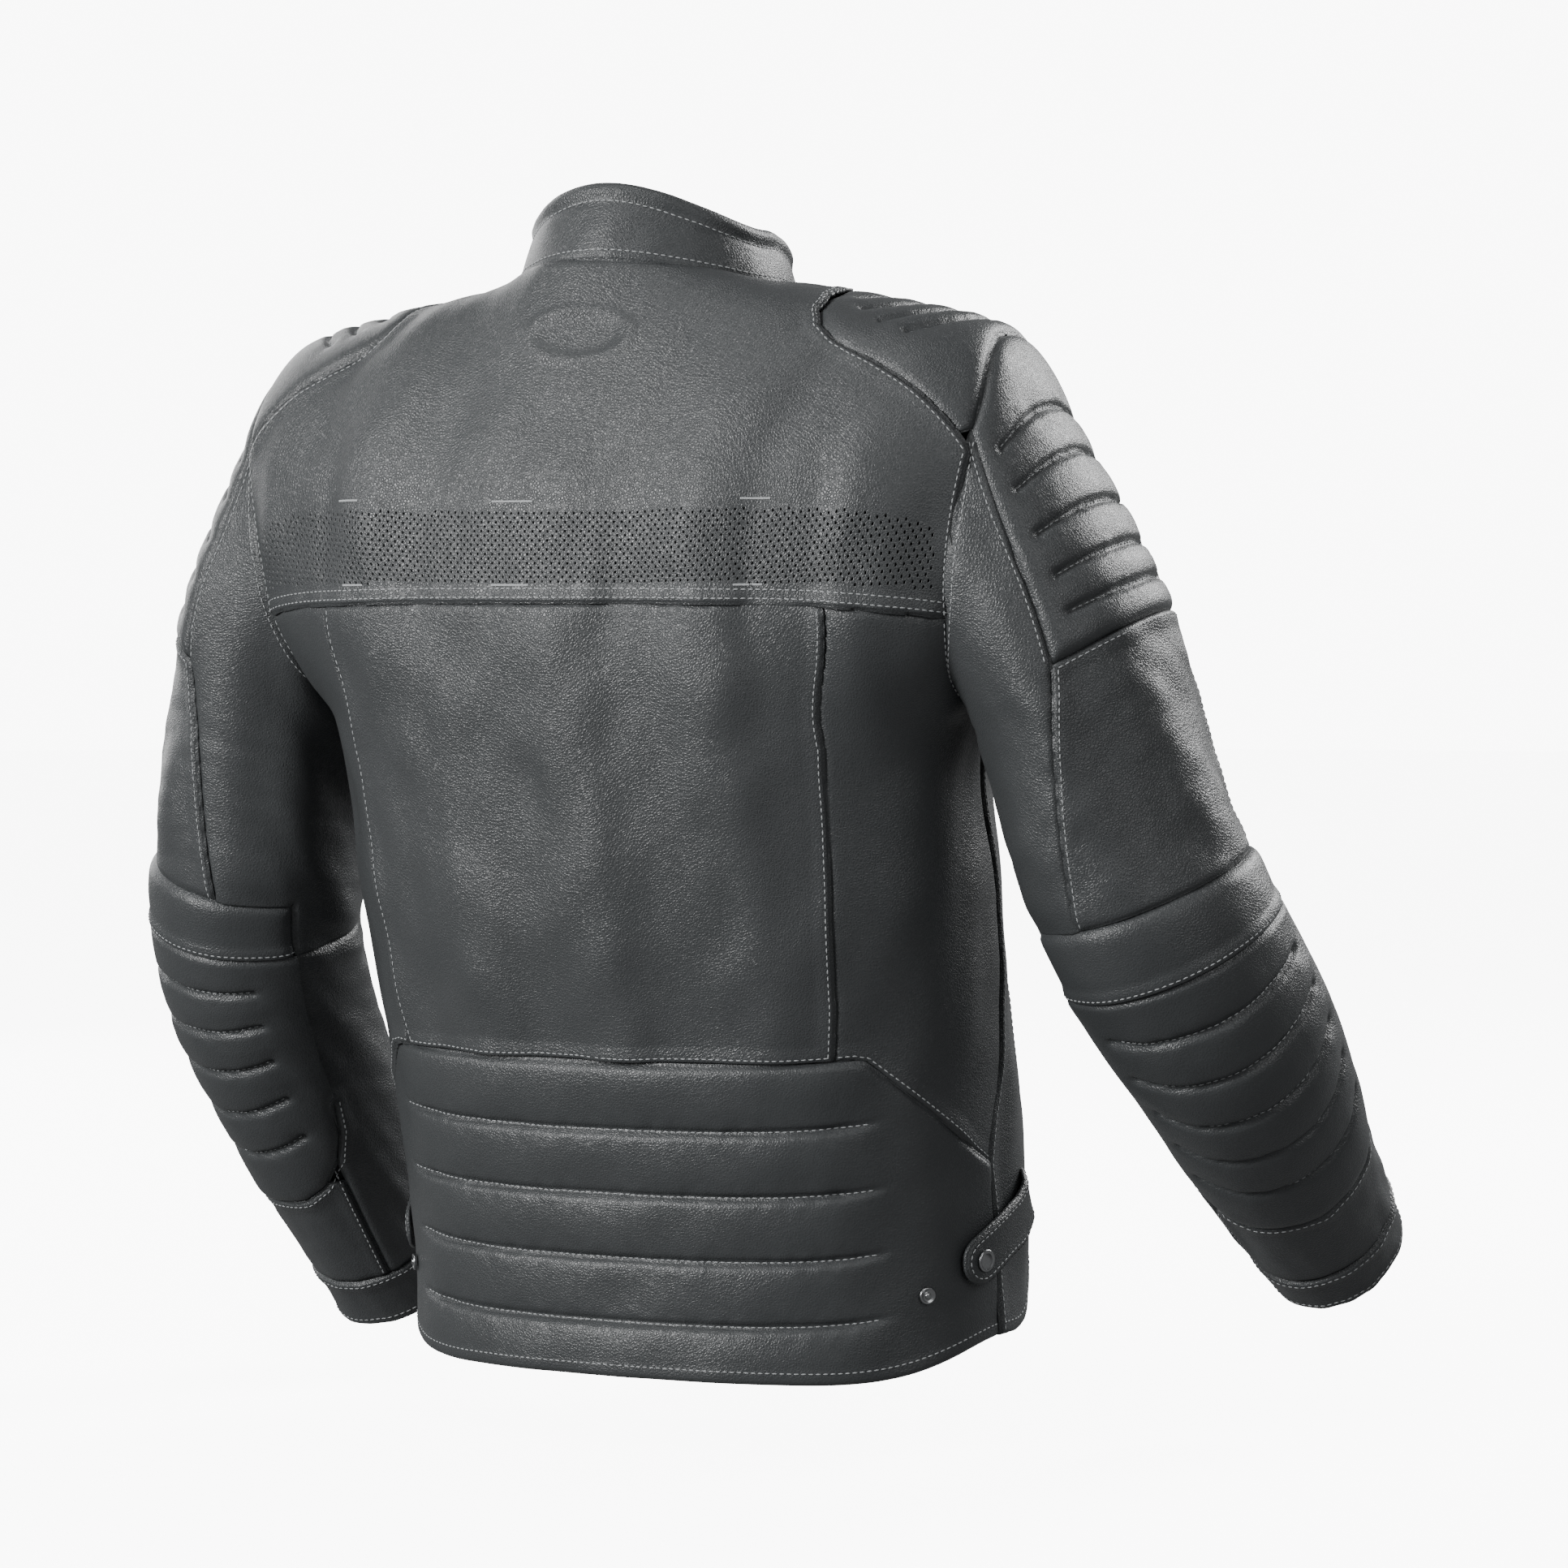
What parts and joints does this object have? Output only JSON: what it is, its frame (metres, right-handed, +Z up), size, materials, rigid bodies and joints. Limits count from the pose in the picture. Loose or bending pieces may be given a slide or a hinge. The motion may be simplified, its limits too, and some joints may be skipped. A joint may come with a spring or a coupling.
{
  "type": "leather riding jacket",
  "caption": "Worn-shape leather riding jacket with perforated yoke, ribbed pads at the shoulders, elbows and lower back, stand collar and zips.",
  "frame": {"origin": "middle of the hanger loop inside the back neck", "axes": "+Z up, +Y out of the wearer's back, +X to the wearer's left"},
  "size_m": [0.7489, 0.3737, 0.6847],
  "materials": {
    "leather": "satin grained cowhide, near black",
    "ribbed_leather": "satin grained cowhide sewn in ribs over wadding",
    "lining_fabric": "matt woven mesh",
    "protector_foam": "matt closed foam",
    "zip_tape": "woven tape",
    "gunmetal": "dark plated"
  },
  "bodies": {
    "jacket_body": {"back_centre_panel": "leather", "back_protector": "protector_foam", "back_side_panel_left": "leather", "back_side_panel_right": "leather", "back_yoke": "leather", "collar": "leather", "front_panel_left": "leather", "front_panel_right": "leather", "front_zip_tape_left": "zip_tape", "front_zip_tape_right": "zip_tape", "hanger_loop": "zip_tape", "lumbar_panel": "ribbed_leather", "pocket_zip_left": "zip_tape", "pocket_zip_right": "zip_tape", "shoulder_pad_left": "ribbed_leather", "shoulder_pad_right": "ribbed_leather", "torso_lining": "lining_fabric", "trouser_zip": "zip_tape", "waist_stud_left": "gunmetal", "waist_stud_right": "gunmetal"},
    "upper_sleeve_right_body": {"upper_arm_pad_right": "ribbed_leather", "upper_sleeve_right": "leather", "under_sleeve_right": "leather", "elbow_band_right": "ribbed_leather", "upper_lining_right": "lining_fabric", "shoulder_protector_right": "protector_foam"},
    "forearm_right_body": {"elbow_pad_right": "ribbed_leather", "forearm_right": "leather", "cuff_band_right": "ribbed_leather", "cuff_zip_right": "zip_tape", "lower_lining_right": "lining_fabric", "elbow_protector_right": "protector_foam"},
    "cuff_slider_right_body": {"cuff_slider_right": "gunmetal"},
    "cuff_pull_right_body": {"cuff_pull_right": "gunmetal"},
    "pocket_slider_right_body": {"pocket_slider_right": "gunmetal"},
    "pocket_pull_right_body": {"pocket_pull_right": "gunmetal"},
    "waist_tab_right_body": {"waist_tab_right": "leather", "waist_cap_right": "gunmetal"},
    "upper_sleeve_left_body": {"upper_arm_pad_left": "ribbed_leather", "upper_sleeve_left": "leather", "under_sleeve_left": "leather", "elbow_band_left": "ribbed_leather", "upper_lining_left": "lining_fabric", "shoulder_protector_left": "protector_foam"},
    "forearm_left_body": {"elbow_pad_left": "ribbed_leather", "forearm_left": "leather", "cuff_band_left": "ribbed_leather", "cuff_zip_left": "zip_tape", "lower_lining_left": "lining_fabric", "elbow_protector_left": "protector_foam"},
    "cuff_slider_left_body": {"cuff_slider_left": "gunmetal"},
    "cuff_pull_left_body": {"cuff_pull_left": "gunmetal"},
    "pocket_slider_left_body": {"pocket_slider_left": "gunmetal"},
    "pocket_pull_left_body": {"pocket_pull_left": "gunmetal"},
    "waist_tab_left_body": {"waist_tab_left": "leather", "waist_cap_left": "gunmetal"},
    "front_slider_body": {"front_zip_slider": "gunmetal"},
    "front_pull_body": {"front_zip_pull": "gunmetal"},
    "collar_tab_body": {"collar_tab": "leather"}
  },
  "joints": [
    {"name": "shoulder_right", "type": "hinge", "parent": "jacket_body", "child": "upper_sleeve_right_body", "pos_m": [-0.2185, -0.084, -0.0075], "axis": [0, 1, 0], "range_deg": [0, 25]},
    {"name": "elbow_right", "type": "hinge", "parent": "upper_sleeve_right_body", "child": "forearm_right_body", "pos_m": [-0.305, -0.1765, -0.3225], "axis": [-1, 0, 0], "range_deg": [0, 30]},
    {"name": "shoulder_left", "type": "hinge", "parent": "jacket_body", "child": "upper_sleeve_left_body", "pos_m": [0.2185, -0.084, -0.0075], "axis": [0, -1, 0], "range_deg": [0, 25]},
    {"name": "elbow_left", "type": "hinge", "parent": "upper_sleeve_left_body", "child": "forearm_left_body", "pos_m": [0.297, -0.179, -0.329], "axis": [-1, 0, 0], "range_deg": [0, 30]},
    {"name": "front_zip_run", "type": "slide", "parent": "jacket_body", "child": "front_slider_body", "axis": [0, 0.2022, 0.9793], "range_m": [-0.44, 0]},
    {"name": "front_pull_flip", "type": "hinge", "parent": "front_slider_body", "child": "front_pull_body", "pos_m": [0, -0.17458, -0.05478], "axis": [-1, 0, 0], "range_deg": [0, 150]},
    {"name": "pocket_zip_run_right", "type": "slide", "parent": "jacket_body", "child": "pocket_slider_right_body", "axis": [0.0791, 0.1342, 0.9878], "range_m": [-0.088, 0]},
    {"name": "pocket_pull_flip_right", "type": "hinge", "parent": "pocket_slider_right_body", "child": "pocket_pull_right_body", "pos_m": [-0.16615, -0.17877, -0.3219], "axis": [-0.6348, 0.7708, -0.0539], "range_deg": [0, 150]},
    {"name": "cuff_zip_run_right", "type": "slide", "parent": "forearm_right_body", "child": "cuff_slider_right_body", "axis": [0.09, 0.7411, 0.6654], "range_m": [0, 0.085]},
    {"name": "cuff_pull_flip_right", "type": "hinge", "parent": "cuff_slider_right_body", "child": "cuff_pull_right_body", "pos_m": [-0.28522, -0.30787, -0.5141], "axis": [-0.4127, -0.5803, 0.7021], "range_deg": [0, 120]},
    {"name": "pocket_zip_run_left", "type": "slide", "parent": "jacket_body", "child": "pocket_slider_left_body", "axis": [-0.0791, 0.1342, 0.9878], "range_m": [-0.088, 0]},
    {"name": "pocket_pull_flip_left", "type": "hinge", "parent": "pocket_slider_left_body", "child": "pocket_pull_left_body", "pos_m": [0.16615, -0.17877, -0.3219], "axis": [-0.6348, -0.7708, 0.0539], "range_deg": [0, 150]},
    {"name": "cuff_zip_run_left", "type": "slide", "parent": "forearm_left_body", "child": "cuff_slider_left_body", "axis": [0.0131, 0.5151, 0.8571], "range_m": [0, 0.085]},
    {"name": "cuff_pull_flip_left", "type": "hinge", "parent": "cuff_slider_left_body", "child": "cuff_pull_left_body", "pos_m": [0.25066, -0.2669, -0.56139], "axis": [-0.4112, 0.7841, -0.4649], "range_deg": [0, 120]},
    {"name": "waist_tab_lift_right", "type": "hinge", "parent": "jacket_body", "child": "waist_tab_right_body", "pos_m": [-0.18785, -0.18171, -0.49295], "axis": [-0.2044, 0.6765, 0.7075], "range_deg": [0, 60]},
    {"name": "waist_tab_lift_left", "type": "hinge", "parent": "jacket_body", "child": "waist_tab_left_body", "pos_m": [0.18785, -0.18171, -0.49295], "axis": [-0.2044, -0.6765, -0.7075], "range_deg": [0, 60]},
    {"name": "collar_tab_lift", "type": "hinge", "parent": "jacket_body", "child": "collar_tab_body", "pos_m": [-0.02328, -0.16294, -0.01042], "axis": [-0.3546, -0.0253, -0.9347], "range_deg": [0, 55]}
  ]
}
